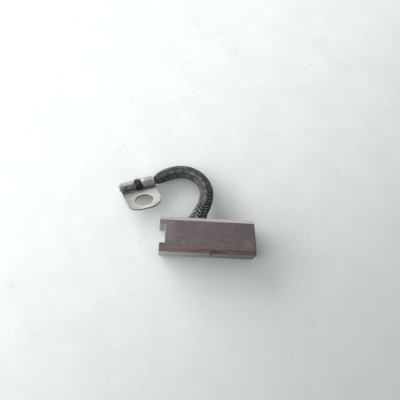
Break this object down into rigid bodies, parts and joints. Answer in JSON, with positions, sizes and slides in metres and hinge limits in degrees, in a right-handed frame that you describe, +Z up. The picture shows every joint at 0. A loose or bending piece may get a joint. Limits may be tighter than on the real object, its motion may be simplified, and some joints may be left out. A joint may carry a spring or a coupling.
{
  "type": "carbon brush",
  "caption": "Slotted copper-graphite brush with a braided, sleeved lead from its side and a flag ring terminal for a stud.",
  "frame": {"origin": "centre of the block's lower face, at the middle of the block's box", "axes": "+X along the block to the running face, +Y to the side that the lead leaves, +Z up through the thickness"},
  "size_m": [0.04, 0.0273, 0.008],
  "materials": {
    "carbon": "matt, fine lengthwise grind marks",
    "tamped_powder": "dull, packed powder",
    "copper": "dull, stranded",
    "braid": "braided yarn with a slight sheen",
    "tinned_sheet": "tinned, satin"
  },
  "bodies": {
    "root": {"carbon_block": "carbon", "tamped_plug": "tamped_powder", "copper_rope": "copper", "braided_sleeve": "braid", "ring_terminal": "tinned_sheet"}
  },
  "joints": []
}
